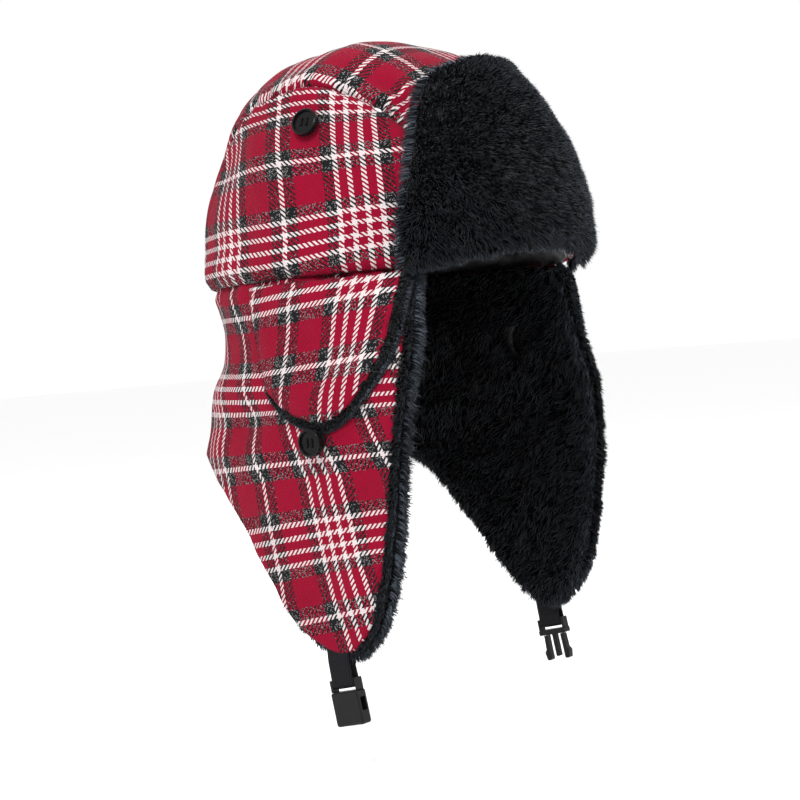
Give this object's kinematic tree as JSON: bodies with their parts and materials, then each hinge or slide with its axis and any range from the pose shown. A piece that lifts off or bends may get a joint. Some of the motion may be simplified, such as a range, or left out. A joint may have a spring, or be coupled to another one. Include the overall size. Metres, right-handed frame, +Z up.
{
  "type": "trapper hat",
  "caption": "Trapper hat with a rounded plaid wool crown, folded-up fur front flap, fur-lined ear flaps under buttoned ear covers, and a side-release chin buckle.",
  "frame": {"origin": "centre of the head opening, in the plane of the seam between the crown and the ear flaps", "axes": "+Z up to the crown's top, -Y to the wearer's front, -X to the wearer's right"},
  "size_m": [0.2162, 0.2327, 0.3647],
  "materials": {
    "wool_plaid": "brushed twill wool in a crimson, charcoal and white check",
    "fur": "dense black pile",
    "fleece": "short black fleece",
    "wadding": "soft polyester wadding",
    "quilted_lining": "satin, quilted",
    "button": "gloss",
    "thread": "matt",
    "elastic": "matt",
    "webbing": "woven, matt",
    "buckle_plastic": "satin moulded"
  },
  "bodies": {
    "crown": {"crown_side_panel_right": "wool_plaid", "crown_side_panel_left": "wool_plaid", "crown_centre_strip": "wool_plaid", "crown_wadding": "wadding", "crown_lining": "quilted_lining", "crown_button_right": "button", "crown_button_left": "button", "crown_button_thread_right": "thread", "crown_button_thread_left": "thread", "neck_flap_shell": "wool_plaid", "neck_flap_fur": "fur"},
    "front_flap": {"front_flap_backing": "wool_plaid", "front_flap_fur": "fur"},
    "ear_flap_right": {"ear_flap_shell_right": "wool_plaid", "ear_flap_fur_right": "fur", "lower_button_right": "button", "lower_button_thread_right": "thread"},
    "ear_cover_right": {"ear_cover_shell_right": "wool_plaid", "ear_cover_lining_right": "fleece", "ear_cover_loop_right": "elastic"},
    "strap_right": {"strap_webbing_right": "webbing"},
    "ear_flap_left": {"ear_flap_shell_left": "wool_plaid", "ear_flap_fur_left": "fur", "lower_button_left": "button", "lower_button_thread_left": "thread"},
    "ear_cover_left": {"ear_cover_shell_left": "wool_plaid", "ear_cover_lining_left": "fleece", "ear_cover_loop_left": "elastic"},
    "strap_left": {"strap_webbing_left": "webbing"},
    "buckle_right": {"buckle_socket_right": "buckle_plastic"},
    "buckle_left": {"buckle_plug_left": "buckle_plastic"},
    "prong_front": {"plug_prong_front_left": "buckle_plastic"},
    "prong_rear": {"plug_prong_rear_left": "buckle_plastic"}
  },
  "joints": [
    {"name": "front_flap_fold", "type": "hinge", "parent": "crown", "child": "front_flap", "pos_m": [0, -0.1055, 0.003], "axis": [1, 0, 0], "range_deg": [0, 150]},
    {"name": "ear_flap_right_fold", "type": "hinge", "parent": "crown", "child": "ear_flap_right", "pos_m": [-0.099, -0.02, 0], "axis": [0, 1, 0], "range_deg": [0, 150]},
    {"name": "ear_cover_right_open", "type": "hinge", "parent": "ear_flap_right", "child": "ear_cover_right", "pos_m": [-0.1005, -0.02, -0.0015], "axis": [0, -1, 0], "range_deg": [-165, 0], "deforming": ["ear_cover_loop_right"]},
    {"name": "strap_right_swing", "type": "hinge", "parent": "ear_flap_right", "child": "strap_right", "pos_m": [-0.094, -0.021, -0.2012], "axis": [0, 0.9848, -0.1736], "range_deg": [-60, 60]},
    {"name": "buckle_right_pivot", "type": "hinge", "parent": "strap_right", "child": "buckle_right", "pos_m": [-0.094, -0.02308, -0.21302], "axis": [0, 0.9848, -0.1736], "range_deg": [-60, 60]},
    {"name": "ear_flap_left_fold", "type": "hinge", "parent": "crown", "child": "ear_flap_left", "pos_m": [0.099, -0.02, 0], "axis": [0, -1, 0], "range_deg": [0, 150]},
    {"name": "ear_cover_left_open", "type": "hinge", "parent": "ear_flap_left", "child": "ear_cover_left", "pos_m": [0.1005, -0.02, -0.0015], "axis": [0, 1, 0], "range_deg": [-165, 0], "deforming": ["ear_cover_loop_left"]},
    {"name": "strap_left_swing", "type": "hinge", "parent": "ear_flap_left", "child": "strap_left", "pos_m": [0.094, -0.021, -0.2012], "axis": [0, -0.9848, 0.1736], "range_deg": [-60, 60]},
    {"name": "buckle_left_pivot", "type": "hinge", "parent": "strap_left", "child": "buckle_left", "pos_m": [0.094, -0.02308, -0.21302], "axis": [0, -0.9848, 0.1736], "range_deg": [-60, 60]},
    {"name": "plug_prong_front_flex", "type": "hinge", "parent": "buckle_left", "child": "prong_front", "pos_m": [0.094, -0.03035, -0.21966], "axis": [1, 0, 0], "range_deg": [0, 6], "stiffness_Nm_per_rad": 0.01},
    {"name": "plug_prong_rear_flex", "type": "hinge", "parent": "buckle_left", "child": "prong_rear", "pos_m": [0.094, -0.01853, -0.22174], "axis": [1, 0, 0], "range_deg": [-6, 0], "stiffness_Nm_per_rad": 0.01}
  ],
  "couplings": [
    {"joint": "plug_prong_rear_flex", "follows": "plug_prong_front_flex", "ratio": -1}
  ]
}
